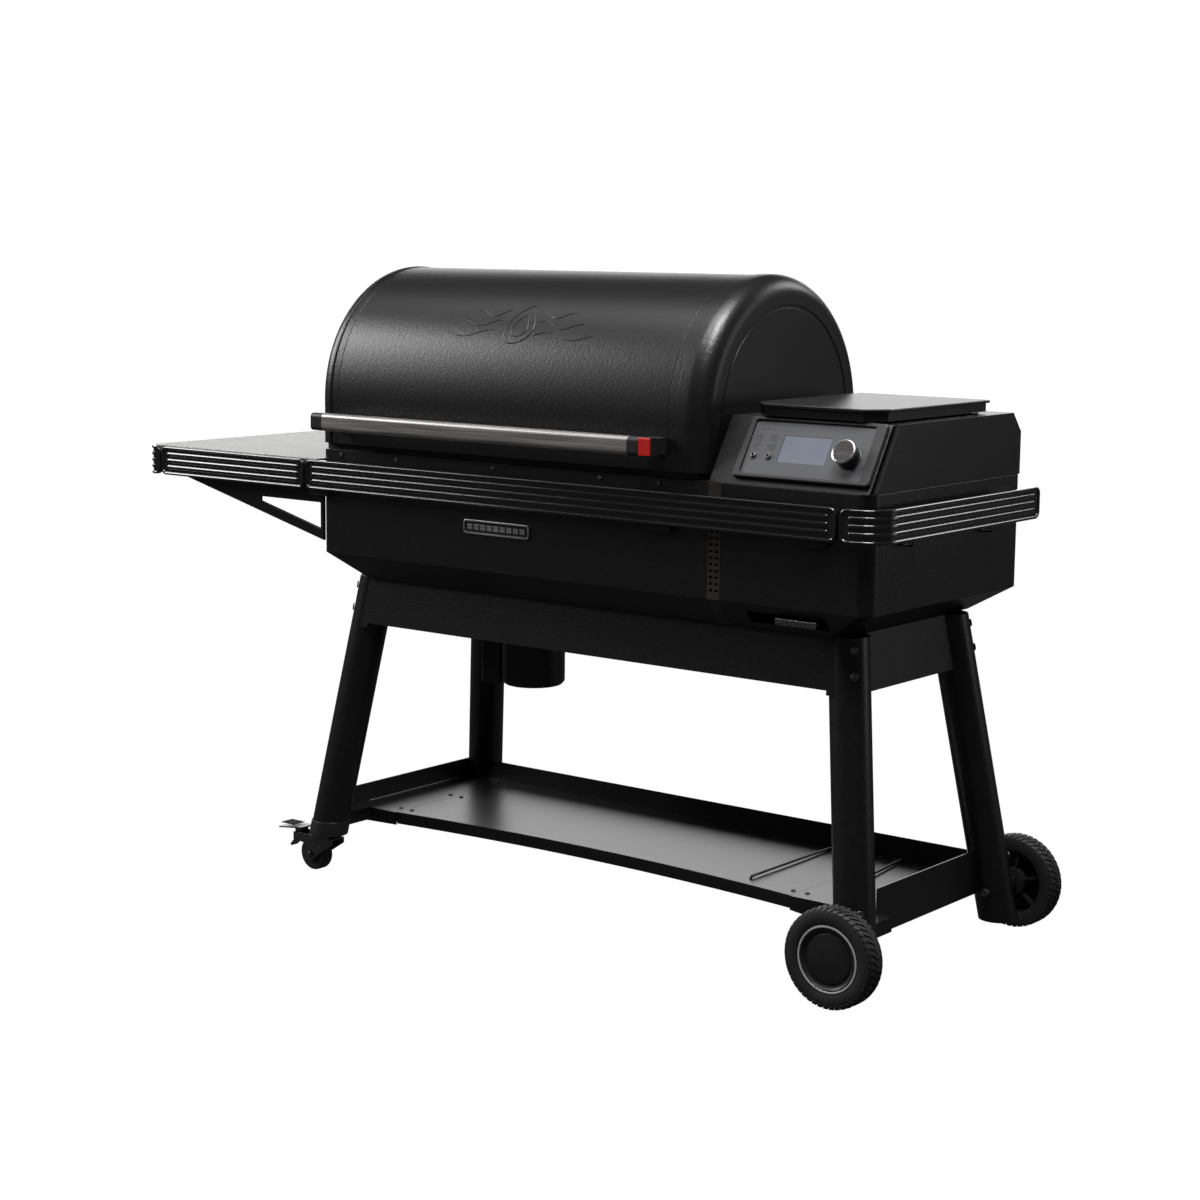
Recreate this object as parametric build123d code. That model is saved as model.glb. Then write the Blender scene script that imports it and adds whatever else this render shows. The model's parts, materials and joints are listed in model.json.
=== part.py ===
"""Pellet smoker grill on a four-leg stand, in millimetres: +Z up, -Y the front.

The dimensions below count X from the cabinet's datum. save() moves everything by DATUM_X,
so that the finished origin lies on the floor below the middle of the whole grill, with the
wheels and the side shelf included.
"""

from build123d import *
import os

# Body: one long sheet-metal box with a chamfered lower edge, chamber on the left, hopper on the right
DATUM_X = -9.8
BODY_X0, BODY_X1, BODY_Y, BODY_REAR = -419.0, 850.0, 250.0, 260.0
PANEL_Z, LEDGE_Z, FLOOR_Z = 657.0, 863.0, 611.0
CHAMFER_END, CHAMFER_FRONT = 76.0, 35.0
CORNER_RADII = (15.0, 27.0, 8.0, 8.0)
SHEET, GAP = 3.0, 0.3
VENT_X0, VENT_X1 = 519.0, 546.0

# Lid: a D section closed by an end cap at each side
LID_X0, LID_X1, LID_SEAM0, LID_SEAM1 = -419.0, 510.0, -369.0, 434.0
LID_R, LID_CZ, LID_Z0, LID_SKIN = 257.0, 960.0, 876.0, 2.5
SHOULDER_R, CAP_STEP, PORT_Y, PORT_Z = 38.0, 18.0, -144.0, 940.0
HINGE_Y, HINGE_Z, HINGE_R, PIN_R = 266.0, 876.0, 6.0, 3.0
HINGE_X = (-330.0, 395.0)

# Handle along the lid's front
BAR_Y0, BAR_Y1, BAR_Z0, BAR_Z1 = -311.0, -287.0, 904.0, 938.0
BAR_X0, BAR_X1, BAR_LEFT, CAP_X0, CAP_X1 = -362.0, 385.0, -391.0, 409.3, 434.7

# Hopper housing: side profile with the sloped control face
HOP_TOP, SLOPE_Y, SLOPE_Z, HOP_HINGE_Y = 976.0, -180.0, 976.0, 179.0
FACE = Plane(
    origin=(707, (SLOPE_Y - BODY_Y) / 2, (SLOPE_Z + LEDGE_Z) / 2),
    x_dir=(1, 0, 0),
    z_dir=(0, -(SLOPE_Z - LEDGE_Z), SLOPE_Y + BODY_Y),
)
KNOB_AT, KNOB_R, KNOB_LONG = (81.0, -2.0), 23.0, 30.0
LCD_AT, LCD_W, LCD_H = (-13.0, 5.0), 96.0, 52.0

# Stand: splayed round legs, low on the right where the big wheels are
LEG_CX, LEG_X, LEG_Y, LEG_R, LEG_WALL = 209.8, 566.7, 182.6, 36.5, 2.5
LEG_REF_Z, SPLAY_X, SPLAY_Y = 510.0, 0.142, 0.139
LEG_TOP, LEG_LOW_RIGHT, LEG_LOW_LEFT, COLLAR_LOW, COLLAR_TOP = 610.0, 29.5, 88.0, 80.0, 110.0
WHEEL_X, WHEEL_Y, WHEEL_R, WHEEL_W, AXLE_R = 841.6, 319.0, 88.0, 43.0, 8.0
CASTER_R, CASTER_W, CASTER_TRAIL, CASTER_PIN = 34.0, 26.0, 36.0, 4.0
FORK_Z, BRAKE_X, BRAKE_Z, BRAKE_PIN = 73.0, -78.0, 64.0, 2.5
STEM_R, COLLAR_R = 6.0, 38.5

# Shelves, rails
SHELF_X0, SHELF_Z, RAIL_Y, RAIL_LOW, RAIL_HIGH, RAIL_T = -910.0, 843.0, 274.0, 782.0, 841.0, 9.0
LOW_Z, LOW_X0, LOW_X1, LOW_Y, LOW_REAR, LIP = 122.0, -317.0, 642.0, 148.0, 214.0, 38.0
SEAM_Y = 5.0 - LOW_Y
RAIL_RIGHT, RAIL_TURN_R, RAIL_REAR = 882.0, 60.0, 283.0
SHELF_TURN_R, SHELF_REAR = 24.0, 262.0

# Inside
KEG_X, KEG_R, KEG_TOP, KEG_LOW = -81.0, 63.0, 592.0, 396.0
POT_X, POT_R = 40.0, 45.0
FAN_X, FAN_Y = 300.0, 60.0
AUGER_Z, AUGER_R, AUGER_TUBE_R = 690.0, 22.0, 26.0


def save(shape, name):
    """Write one node."""
    solids = [Pos(DATUM_X, 0, 0) * solid for solid in shape.solids()]
    part = solids[0] if len(solids) == 1 else Compound(children=solids)
    export_step(part, f"parts/{name}.step")


def block(x0, x1, y0, y1, z0, z1):
    """Axis-aligned box between two corners."""
    return Pos((x0 + x1) / 2, (y0 + y1) / 2, (z0 + z1) / 2) * Box(x1 - x0, y1 - y0, z1 - z0)


def rod_x(x0, x1, y, z, r):
    """Cylinder along X."""
    return Pos((x0 + x1) / 2, y, z) * Rot(0, 90, 0) * Cylinder(r, x1 - x0)


def rod_y(x, y0, y1, z, r):
    """Cylinder along Y."""
    return Pos(x, (y0 + y1) / 2, z) * Rot(90, 0, 0) * Cylinder(r, y1 - y0)


def rod_z(x, y, z0, z1, r):
    """Cylinder along Z."""
    return Pos(x, y, (z0 + z1) / 2) * Cylinder(r, z1 - z0)


def profile_x(points, x0, x1):
    """A (y, z) outline swept from x0 to x1."""
    face = make_face(Polyline(*points, close=True))
    return extrude(Plane(origin=(x0, 0, 0), x_dir=(0, 1, 0), z_dir=(1, 0, 0)) * face, x1 - x0)


def profile_y(points, y0, y1):
    """An (x, z) outline swept from y0 to y1."""
    face = make_face(Polyline(*points, close=True))
    return extrude(Plane(origin=(0, y1, 0), x_dir=(1, 0, 0), z_dir=(0, -1, 0)) * face, y1 - y0)


def profile_z(points, z0, z1):
    """An (x, y) outline swept from z0 to z1."""
    return extrude(Plane.XY.offset(z0) * make_face(Polyline(*points, close=True)), z1 - z0)


def leg_xy(side, front, z):
    """Centre of a leg at height z; side is -1 left or 1 right, front is -1 front or 1 rear."""
    drop = LEG_REF_Z - z
    return LEG_CX + side * (LEG_X + SPLAY_X * drop), front * (LEG_Y + SPLAY_Y * drop)


def leg_rod(side, front, z0, z1, r):
    """Solid rod along a leg's axis, cut level at both ends."""
    low, high = z0 - 40, z1 + 40
    a, b = leg_xy(side, front, low), leg_xy(side, front, high)
    axis = Vector(b[0] - a[0], b[1] - a[1], high - low)
    rod = extrude(Plane(origin=(a[0], a[1], low), z_dir=axis) * Circle(r), axis.length)
    return rod & block(a[0] - 300, a[0] + 300, a[1] - 300, a[1] + 300, z0, z1)


def cornered(x0, x1, y0, y1, z, inset):
    """Rectangle with its own radius at each corner."""
    face = Pos((x0 + x1) / 2, (y0 + y1) / 2, z) * Rectangle(x1 - x0, y1 - y0)
    for (x, y), radius in zip(((x0, y0), (x1, y0), (x1, y1), (x0, y1)), CORNER_RADII):
        corner = [v for v in face.vertices() if abs(v.X - x) < 0.01 and abs(v.Y - y) < 0.01]
        face = fillet(corner, radius - inset)
    return face


def body_solid(inset):
    """The whole body's outside, or its inside when inset by the sheet."""
    x0, x1, y0, y1 = BODY_X0 + inset, BODY_X1 - inset, -BODY_Y + inset, BODY_REAR - inset
    top = cornered(x0, x1, y0, y1, PANEL_Z, inset)
    foot = cornered(x0 + CHAMFER_END, x1 - CHAMFER_END, y0 + CHAMFER_FRONT, y1 - CHAMFER_FRONT,
                    FLOOR_Z + inset, inset)
    return extrude(top, LEDGE_Z - PANEL_Z) + loft([foot.face(), top.face()], ruled=True)


def chamber_shell(body, inside):
    """Tub open at the top with a ledge all round and a drain hole over the keg."""
    x1 = VENT_X0 - GAP
    cut = block(-600, x1 - SHEET, -400, 400, 500, 900)
    tub = (body & block(-600, x1, -400, 400, 500, 900)) - (inside & cut)
    ledge = block(BODY_X0 + 2, x1 - 1, -BODY_Y + 2, BODY_REAR - 2, LEDGE_Z - SHEET, LEDGE_Z) & body
    ledge -= block(-388, 488, -224, 224, LEDGE_Z - 9, LEDGE_Z + 9)
    return tub + ledge - rod_z(KEG_X, 0, 560, 640, 22)


def hopper_base(body, inside):
    """Right end of the body, with a window in the front chamfer for the clean-out lever."""
    x0 = VENT_X1 + GAP
    cut = block(x0 + SHEET, 900, -400, 400, 500, 900)
    box = (body & block(x0, 900, -400, 400, 500, 900)) - (inside & cut)
    box -= block(596, 758, -262, -214, 622, 643)
    box -= block(640, 760, BODY_REAR - 20, BODY_REAR + 20, 700, 790)
    return box - rod_x(540, 560, 0, AUGER_Z, AUGER_TUBE_R + 1)


def vent_strip(body, inside):
    """Perforated band between chamber and hopper, two columns of short slots."""
    strip = (body - inside) & block(VENT_X0, VENT_X1, -400, -200, 500, 900)
    for row in range(10):
        for column in (-6, 6):
            x = (VENT_X0 + VENT_X1) / 2 + column
            z = PANEL_Z + 16 + 11.5 * row
            strip -= block(x - 3.5, x + 3.5, -262, -240, z - 2.2, z + 2.2)
    return strip


def frame_ring(x0, x1, y, z0, z1, wide):
    """Flat rectangular ring."""
    ring = block(x0, x1, -y, y, z0, z1)
    return ring - block(x0 + wide, x1 - wide, wide - y, y - wide, z0 - 1, z1 + 1)


def d_solid(r, x0, x1, z0):
    """Solid D section of the lid."""
    outline = make_face(Polyline((-r, LID_CZ), (-r, z0), (r, z0), (r, LID_CZ))
                        + CenterArc((0, LID_CZ), r, 0, 180))
    return extrude(Plane(origin=(x0, 0, 0), x_dir=(0, 1, 0), z_dir=(1, 0, 0)) * outline, x1 - x0)


def lid_shell():
    """Main skin between the two seams."""
    x0, x1 = LID_SEAM0 + GAP, LID_SEAM1 - GAP
    return d_solid(LID_R, x0, x1, LID_Z0) - d_solid(LID_R - LID_SKIN, x0 - 1, x1 + 1, LID_Z0 - 1)


def lid_end(seam, outer):
    """End cap: a small step up from the skin, a wide rounded shoulder and a half-moon groove."""
    way = 1 if outer > seam else -1
    step = seam + way * CAP_STEP
    shoulder = min(SHOULDER_R, abs(outer - step) - 4)
    cap = d_solid(LID_R, *sorted((seam, step)), LID_Z0)
    cap += rounded_d(LID_R + 2, step, outer, shoulder, LID_Z0)
    cap -= rounded_d(LID_R - 3, seam - way, outer - way * 3, shoulder - 3, LID_Z0 - 20)
    g0, g1 = sorted((outer - way * 1.8, outer + way))
    groove = d_solid(LID_R - 52, g0, g1, LID_Z0 + 24) - d_solid(LID_R - 58, g0 - 1, g1 + 1, LID_Z0 + 30)
    return cap - groove


def rounded_d(r, start, outer, radius, z0):
    """Solid D section with its outer end rounded over."""
    solid = d_solid(r, *sorted((start, outer)), z0)
    rim = [e for e in solid.edges()
           if e.bounding_box().size.X < 0.01 and abs(e.center().X - outer) < 0.01 and e.center().Z > z0 + 1]
    return fillet(rim, radius)


def lid_hinge(x):
    """Two lid knuckles on one plate behind the skin."""
    part = block(x - 28, x + 28, LID_R + GAP, LID_R + 3, HINGE_Z, HINGE_Z + 34)
    for x0, x1 in ((x - 28, x - 12.3), (x + 12.3, x + 28)):
        part += rod_x(x0, x1, HINGE_Y, HINGE_Z, HINGE_R)
        part += block(x0, x1, LID_R + GAP, HINGE_Y, HINGE_Z, HINGE_Z + HINGE_R - 1)
    return part - rod_x(x - 40, x + 40, HINGE_Y, HINGE_Z, PIN_R + 0.05)


def hinge_bracket(x):
    """Middle knuckle, its strap on the body's rear and the pin."""
    part = rod_x(x - 12, x + 12, HINGE_Y, HINGE_Z, HINGE_R) + rod_x(x - 30, x + 30, HINGE_Y, HINGE_Z, PIN_R)
    part += block(x - 12, x + 12, HINGE_Y - 3, HINGE_Y + 3, 846, HINGE_Z)
    return part + block(x - 12, x + 12, BODY_REAR + GAP, HINGE_Y + 3, 836, 850)


def bar_section(x0, x1):
    """Rounded bar along the handle's line."""
    start = (x0, (BAR_Y0 + BAR_Y1) / 2, (BAR_Z0 + BAR_Z1) / 2)
    section = RectangleRounded(BAR_Y1 - BAR_Y0, BAR_Z1 - BAR_Z0, 8)
    return extrude(Plane(origin=start, x_dir=(0, 1, 0), z_dir=(1, 0, 0)) * section, x1 - x0)


def handle_mounts():
    """Black block at each end of the bar, on an arm from the lid; the right one has a seat for the cap."""
    face = -LID_R - 2 - GAP
    left = bar_section(BAR_LEFT, BAR_X0 - GAP)
    left += block(BAR_LEFT + 3, BAR_X0 - 3, BAR_Y1 - 6, face, BAR_Z0 + 4, BAR_Z1 - 4)
    right = bar_section(BAR_X1 + GAP, CAP_X1)
    right -= block(CAP_X0 - GAP, CAP_X1 + 1, BAR_Y0 - 1, BAR_Y0 + 5.3, BAR_Z0 - 1, BAR_Z1 + 1)
    right += block(CAP_X0 - 8, CAP_X1, BAR_Y1 - 6, face, BAR_Z0 + 2, BAR_Z1 - 2)
    return Compound(children=[left.solid(), right.solid()])


def housing():
    """Upper hopper housing: sloped front, open bin mouth, open below."""
    def outline(t):
        low = LEDGE_Z + GAP - (5 if t else 0)
        run = (SLOPE_Y + BODY_Y) / (SLOPE_Z - LEDGE_Z)
        front = -BODY_Y + t * 1.3
        top = HOP_TOP - t
        return [(front + run * (low - LEDGE_Z), low), (BODY_REAR - t, low), (BODY_REAR - t, 941),
                (230 - t / 2, top), (front + run * (top - LEDGE_Z), top)]
    outer = profile_x(outline(0), VENT_X0, BODY_X1)
    corner = [e for e in outer.edges() if abs(e.center().X - BODY_X1) < 0.01 and e.center().Y < -190]
    outer = fillet(corner, 14)
    shell = outer - profile_x(outline(SHEET), VENT_X0 + SHEET, BODY_X1 - SHEET)
    return shell - block(578, 822, -140, 160, HOP_TOP - 9, HOP_TOP + 9)


def hopper_lid():
    """Flat plate with clipped front corners and turned-down lips."""
    x0, x1, y0, y1, clip = 563, 832, -200, HOP_HINGE_Y - 6, 34
    outline = [(x0 + clip, y0), (x1 - clip, y0), (x1, y0 + clip), (x1, y1), (x0, y1), (x0, y0 + clip)]
    t = 2.5
    inner = [(x0 + clip, y0 + t), (x1 - clip, y0 + t), (x1 - t, y0 + clip), (x1 - t, y1 - t),
             (x0 + t, y1 - t), (x0 + t, y0 + clip)]
    lid = profile_z(outline, 980, 1001) - profile_z(inner, 979, 998.5)
    for x in (600, 776):
        lid += rod_x(x, x + 24, HOP_HINGE_Y, 983, 5)
        lid += block(x, x + 24, HOP_HINGE_Y - 10, HOP_HINGE_Y, 980, 990)
    return lid - rod_x(500, 900, HOP_HINGE_Y, 983, 2.55)


def hopper_pin(x):
    """Hinge pin of the hopper lid between two ears on the housing."""
    pin = rod_x(x - 4, x + 28, HOP_HINGE_Y, 983, 2.5)
    for x0, x1 in ((x - 4, x - GAP), (x + 24 + GAP, x + 28)):
        pin += block(x0, x1, HOP_HINGE_Y - 4, HOP_HINGE_Y + 4, HOP_TOP + GAP, 986)
    return pin


def hopper_bin():
    """Pellet funnel under the mouth, down to the auger."""
    mouth = Pos(700, 10, 972) * Rectangle(242, 298)
    waist = Pos(700, 10, 880) * Rectangle(242, 298)
    foot = Pos(700, 0, 735) * Rectangle(60, 60)
    outer = loft([waist.face(), mouth.face()], ruled=True) + loft([foot.face(), waist.face()], ruled=True)
    mouth_in = Pos(700, 10, 973) * Rectangle(238, 294)
    waist_in = Pos(700, 10, 880.5) * Rectangle(238, 294)
    foot_in = Pos(700, 0, 734) * Rectangle(56, 56)
    inner = loft([waist_in.face(), mouth_in.face()], ruled=True)
    inner += loft([foot_in.face(), waist_in.face()], ruled=True)
    return outer - inner


def grid(x0, x1, y0, y1, z, r, pitch, ring):
    """Cooking grate: a rim with bars along Y and two cross bars."""
    part = block(x0, x1, y0, y1, z - ring / 2, z + ring / 2)
    part -= block(x0 + ring, x1 - ring, y0 + ring, y1 - ring, z - 20, z + 20)
    count = round((x1 - x0 - ring) / pitch)
    step = (x1 - x0 - ring) / count
    for i in range(1, count):
        x = x0 + ring / 2 + i * step
        part += block(x - r, x + r, y0 + ring / 2, y1 - ring / 2, z - r, z + r)
    for t in (0.3, 0.7):
        y = y0 + t * (y1 - y0)
        part += block(x0 + ring / 2, x1 - ring / 2, y - r, y + r, z - r, z + 0.5)
    return part


def control_bezel():
    """Raised frame round the control panel."""
    frame = Pos(-2.5, 5, 0.3) * extrude(RectangleRounded(276, 119, 7), 9)
    frame = fillet([e for e in frame.edges().filter_by(GeomType.LINE) if e.center().Z > 9], 3)
    frame -= Pos(-6, 5, -1) * extrude(RectangleRounded(243, 104, 5), 20)
    return FACE * frame


def control_panel():
    """Dark plate in the frame with a pocket for the screen and a hole for the knob's shaft."""
    plate = Pos(-6, 5, 0.3) * extrude(RectangleRounded(242.2, 103.2, 4.6), 5)
    plate -= Pos(*LCD_AT, 2.6) * extrude(Rectangle(LCD_W, LCD_H), 10)
    plate -= Pos(*KNOB_AT, -1) * extrude(Circle(4.05), 20)
    for y in (23, 5.5):
        for x in (-111, -80):
            plate -= Pos(x, y, 4.9) * extrude(RectangleRounded(17, 11, 3), 5)
    return FACE * plate


def knob():
    """Dial: shaft, skirt and tall grip."""
    dial = extrude(Circle(KNOB_R), 6) + extrude(Circle(KNOB_R - 4), KNOB_LONG - 0.3)
    dial = fillet(dial.edges().filter_by(GeomType.CIRCLE).sort_by(Axis.Z)[-1], 2)
    return FACE * (Pos(*KNOB_AT, 5.6) * dial + Pos(*KNOB_AT, 1) * extrude(Circle(4), 6))


def rail_profile(outer_face):
    """Outline points of a rail's section, from its front face backwards, as (depth, z)."""
    d, z0, z1 = outer_face, RAIL_LOW, RAIL_HIGH
    back = d + RAIL_T
    ribs = []
    for z in (796.0, 811.5, 827.0):
        ribs += [(d + 2.5, z - 3.2), (d, z - 1.8), (d, z + 1.8), (d + 2.5, z + 3.2)]
    return [(d + 1.5, z0), (d, z0 + 2), (d, z0 + 6), (d + 2.5, z0 + 8), *ribs,
            (d + 2.5, z1 - 8), (d, z1 - 6), (d, z1 - 2), (d + 1.5, z1), (back, z1), (back, z1 - 6),
            (d + 5.5, z1 - 6), (d + 5.5, z0 + 6), (back, z0 + 6), (back, z0)]


def rail_x(x0, x1):
    """Straight ribbed rail along the front."""
    return profile_x(rail_profile(-RAIL_Y), x0, x1)


def rail_corner(start, outer, turn_r, rear):
    """Ribbed rail that runs along the front, round a corner and back along the right side."""
    points = rail_profile(-RAIL_Y)
    cx, cy = outer - turn_r, -RAIL_Y + turn_r
    front = profile_x(points, start, cx)
    section = make_face(Polyline(*[(turn_r - (y + RAIL_Y), z) for y, z in points], close=True))
    turn = revolve(Plane(origin=(cx, cy, 0), x_dir=(0, -1, 0), z_dir=(-1, 0, 0)) * section,
                   Axis((cx, cy, 0), (0, 0, 1)), 90)
    side = profile_y([(outer - (y + RAIL_Y), z) for y, z in points], cy, rear)
    return front + turn + side


def rail_brackets():
    """Short angle pieces that hold the rails off the body."""
    solids = []
    for x0, x1 in ((-440, -390), (392, 446), (718, 770)):
        piece = block(x0, x1, -RAIL_Y + RAIL_T + GAP, -BODY_Y - GAP, 770, 774)
        piece += block(x0, x1, -BODY_Y - 3, -BODY_Y - GAP, 770, 812)
        piece += block(x0, x1, -RAIL_Y + RAIL_T + GAP, -RAIL_Y + RAIL_T + 3, 770, 812)
        solids.append(piece)
    for y0 in (-150, 120):
        piece = block(BODY_X1 + GAP, RAIL_RIGHT - RAIL_T - GAP, y0, y0 + 40, 770, 774)
        piece += block(BODY_X1 + GAP, BODY_X1 + 3, y0, y0 + 40, 770, 812)
        piece += block(RAIL_RIGHT - RAIL_T - 3, RAIL_RIGHT - RAIL_T - GAP, y0, y0 + 40, 770, 812)
        solids.append(piece)
    return Compound(children=[s for p in solids for s in p.solids()])


def side_shelf():
    """Folded tray top, open below."""
    x0, x1, y0, y1 = SHELF_X0 + RAIL_T + GAP, BODY_X0 - GAP, -RAIL_Y + RAIL_T + GAP, SHELF_REAR
    top = block(x0, x1, y0, y1, SHELF_Z - 30, SHELF_Z)
    corner = [e for e in top.edges().filter_by(Axis.Z) if e.center().X < x0 + 1 and e.center().Y < y0 + 1]
    top = fillet(corner, SHELF_TURN_R - RAIL_T)
    return top - block(x0 + 5, x1 - 2, y0 + 5, y1 - 2, SHELF_Z - 31, SHELF_Z - 2.5)


def shelf_brackets():
    """Triangular arms under the side shelf, with a lightening cut."""
    solids = []
    z1 = SHELF_Z - 30 - GAP
    for y in (-246, 240):
        arm = profile_y([(-868, z1), (-868, z1 - 22), (-421, 679), (-421, z1)], y, y + 6)
        arm -= profile_y([(-600, 754), (-600, 745), (-430, 702), (-430, 754)], y - 1, y + 7)
        solids.append(arm)
    return Compound(children=[s for p in solids for s in p.solids()])


def skirt_frame():
    """Splayed panels between the legs."""
    def box_at(z, grow):
        dx = LEG_X + SPLAY_X * (LEG_REF_Z - z) + 14 + grow
        dy = LEG_Y + SPLAY_Y * (LEG_REF_Z - z) + LEG_R - 0.5 + grow
        return (Pos(LEG_CX, 0, z) * Rectangle(2 * dx, 2 * dy)).face()
    z0, z1 = LEG_REF_Z, FLOOR_Z - GAP
    ring = loft([box_at(z0, 0), box_at(z1, 0)], ruled=True)
    ring -= loft([box_at(z0, -2.5), box_at(z1, -2.5)], ruled=True)
    for side in (-1, 1):
        for front in (-1, 1):
            ring -= leg_rod(side, front, z0 - 30, z1 + 30, LEG_R + GAP)
    ring -= block(-330, 750, -400, 400, z0 - 1, z0 + 8)
    kept = [s for s in ring.solids() if s.volume > 20000]
    return Compound(children=kept)


def leg(side, front):
    """Tube leg with a closed foot; a right leg is bored for its wheel's axle."""
    low = LEG_LOW_RIGHT if side > 0 else LEG_LOW_LEFT
    tube = leg_rod(side, front, low, LEG_TOP, LEG_R)
    tube -= leg_rod(side, front, low - 60, LEG_TOP + 60, LEG_R - LEG_WALL)
    tube += leg_rod(side, front, low, low + 3, LEG_R - 1)
    if side > 0:
        tube -= rod_y(WHEEL_X, *sorted((front * 150, front * 400)), WHEEL_R, AXLE_R + GAP)
    return tube


def leg_bolts():
    """Round bolt heads on the legs' outer faces and the ledge's front."""
    solids = []
    for side in (-1, 1):
        for front in (-1, 1):
            for z in (590.0, 545.0, 150.0)[:3 if side > 0 else 2]:
                x, y = leg_xy(side, front, z)
                k = 0.7071 * (LEG_R + 1.4)
                place = Plane(origin=(x + side * k, y + front * k, z), z_dir=(side, front, 0.2))
                solids.append(place * extrude(Circle(7), 2.6))
    for x in (-367, -220, 25, 278, 412):
        solids.append(rod_y(x, -BODY_Y - 2.3, -BODY_Y - GAP, 853, 4))
    return Compound(children=[s for p in solids for s in p.solids()])


def collar(front):
    """Foot of a left leg, with the socket for a caster stem."""
    x, y = leg_xy(-1, front, LEG_LOW_LEFT)
    ring = leg_rod(-1, front, COLLAR_LOW, COLLAR_TOP, COLLAR_R)
    ring -= leg_rod(-1, front, LEG_LOW_LEFT - GAP, 200, LEG_R + GAP)
    return ring - rod_z(x, y, 40, LEG_LOW_LEFT, STEM_R + 0.05)


def caster_fork(x, y):
    """Top plate with bearing ring and stem, cheeks trailing to the left, wheel pin and brake pin."""
    wx, half = x - CASTER_TRAIL, CASTER_W / 2 + 2
    fork = rod_z(x, y, FORK_Z, COLLAR_LOW - 1, 24)
    fork += rod_z(x, y, FORK_Z, LEG_LOW_LEFT - 1, STEM_R)
    fork += block(wx - 12, x + 24, y - half - 3, y + half + 3, FORK_Z - 3, FORK_Z)
    cheek = [(x + 24, FORK_Z), (BRAKE_X + x - 7, FORK_Z), (BRAKE_X + x - 7, BRAKE_Z - 6),
             (wx - 16, BRAKE_Z - 10), (wx - 16, 32), (wx - 8, 22), (wx + 8, 22), (wx + 18, 34),
             (x + 24, FORK_Z - 12)]
    for y0 in (y - half - 3, y + half):
        fork += profile_y(cheek, y0, y0 + 3)
    fork += rod_y(wx, y - half - 5, y + half + 5, CASTER_R, CASTER_PIN)
    return fork + rod_y(BRAKE_X + x, y - half - 4, y + half + 4, BRAKE_Z, BRAKE_PIN)


def caster_brake(x, y):
    """Tread plate on a bent arm that turns on the brake pin, with a release lever below."""
    px, half = BRAKE_X + x, CASTER_W / 2 - 1
    brake = rod_y(px, y - half, y + half, BRAKE_Z, 6)
    arm = [(px - 6, BRAKE_Z), (px - 9, 81), (px + 8, 83), (px + 5, BRAKE_Z)]
    lever = [(px - 5, BRAKE_Z + 2), (px - 26, BRAKE_Z - 22), (px - 22, BRAKE_Z - 25), (px + 1, BRAKE_Z - 4)]
    tread = [(px + 20, 83), (px - 48, 75), (px - 48, 78), (px + 20, 86.5)]
    brake += profile_y(arm, y - half, y + half) + profile_y(lever, y - 9, y + 9)
    brake += profile_y(tread, y - 19, y + 19)
    return brake - rod_y(px, y - 40, y + 40, BRAKE_Z, BRAKE_PIN + 0.05)


def caster(front):
    """Fork, wheel and brake pedal of one caster."""
    x, y = leg_xy(-1, front, LEG_LOW_LEFT)
    wx = x - CASTER_TRAIL
    wheel = rod_y(wx, y - CASTER_W / 2, y + CASTER_W / 2, CASTER_R, CASTER_R)
    wheel = fillet(wheel.edges().filter_by(GeomType.CIRCLE), 5)
    wheel -= rod_y(wx, y - 60, y + 60, CASTER_R, CASTER_PIN + 0.05)
    return caster_fork(x, y), wheel, caster_brake(x, y)


def road_wheel(front):
    """Big wheel: grooved tyre, hub with spokes behind and a cap outside."""
    y0, y1 = WHEEL_Y - WHEEL_W / 2, WHEEL_Y + WHEEL_W / 2
    tyre = rod_y(WHEEL_X, y0, y1, WHEEL_R, WHEEL_R)
    tyre = fillet(tyre.edges().filter_by(GeomType.CIRCLE), 9)
    tyre -= rod_y(WHEEL_X, y1 - 6, y1 + 9, WHEEL_R, 58)
    tyre -= rod_y(WHEEL_X, y0 - 9, y0 + 16, WHEEL_R, 60) - rod_y(WHEEL_X, y0 - 20, y0 + 30, WHEEL_R, 20)
    tyre += rod_y(WHEEL_X, y1 - 7, y1 - 1.5, WHEEL_R, 34)
    tyre -= rod_y(WHEEL_X, y0 - 9, y1 - 12, WHEEL_R, AXLE_R + 0.05)
    return tyre if front > 0 else mirror(tyre, Plane.XZ)


def wheel_axle(front):
    """Stub axle through the leg into the wheel."""
    _, ly = leg_xy(1, -1, WHEEL_R)
    rod = rod_y(WHEEL_X, -ly - 44, WHEEL_Y + WHEEL_W / 2 - 12.5, WHEEL_R, AXLE_R)
    rod += rod_y(WHEEL_X, -ly + 44, WHEEL_Y - WHEEL_W / 2 - GAP, WHEEL_R, 14)
    return rod if front > 0 else mirror(rod, Plane.XZ)


def arc_edge(x0, x1, y, bow):
    """Front edge points of the lower shelf, bowed inwards by a circle's arc."""
    half, middle = (x1 - x0) / 2, (x0 + x1) / 2
    radius = (half * half + bow * bow) / (2 * bow)
    steps = 16
    points = []
    for i in range(steps + 1):
        x = x0 + (x1 - x0) * i / steps
        points.append((x, y + bow - radius + (radius * radius - (x - middle) ** 2) ** 0.5))
    return points


def lower_shelf():
    """Middle panel with a bowed front flange and a rear lip."""
    front = arc_edge(LOW_X0 + GAP, LOW_X1 - GAP, -LOW_Y, 30)
    back = [(x, y + 2.5) for x, y in front]
    plate = profile_z([*front, (LOW_X1 - GAP, LOW_REAR), (LOW_X0 + GAP, LOW_REAR)], LOW_Z - 2.5, LOW_Z)
    flange = profile_z([*front, *back[::-1]], LOW_Z - 24, LOW_Z)
    lip = block(LOW_X0 + GAP, LOW_X1 - GAP, LOW_REAR - 2.5, LOW_REAR, LOW_Z - 2.5, LOW_Z + LIP)
    return plate + flange + lip


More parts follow.
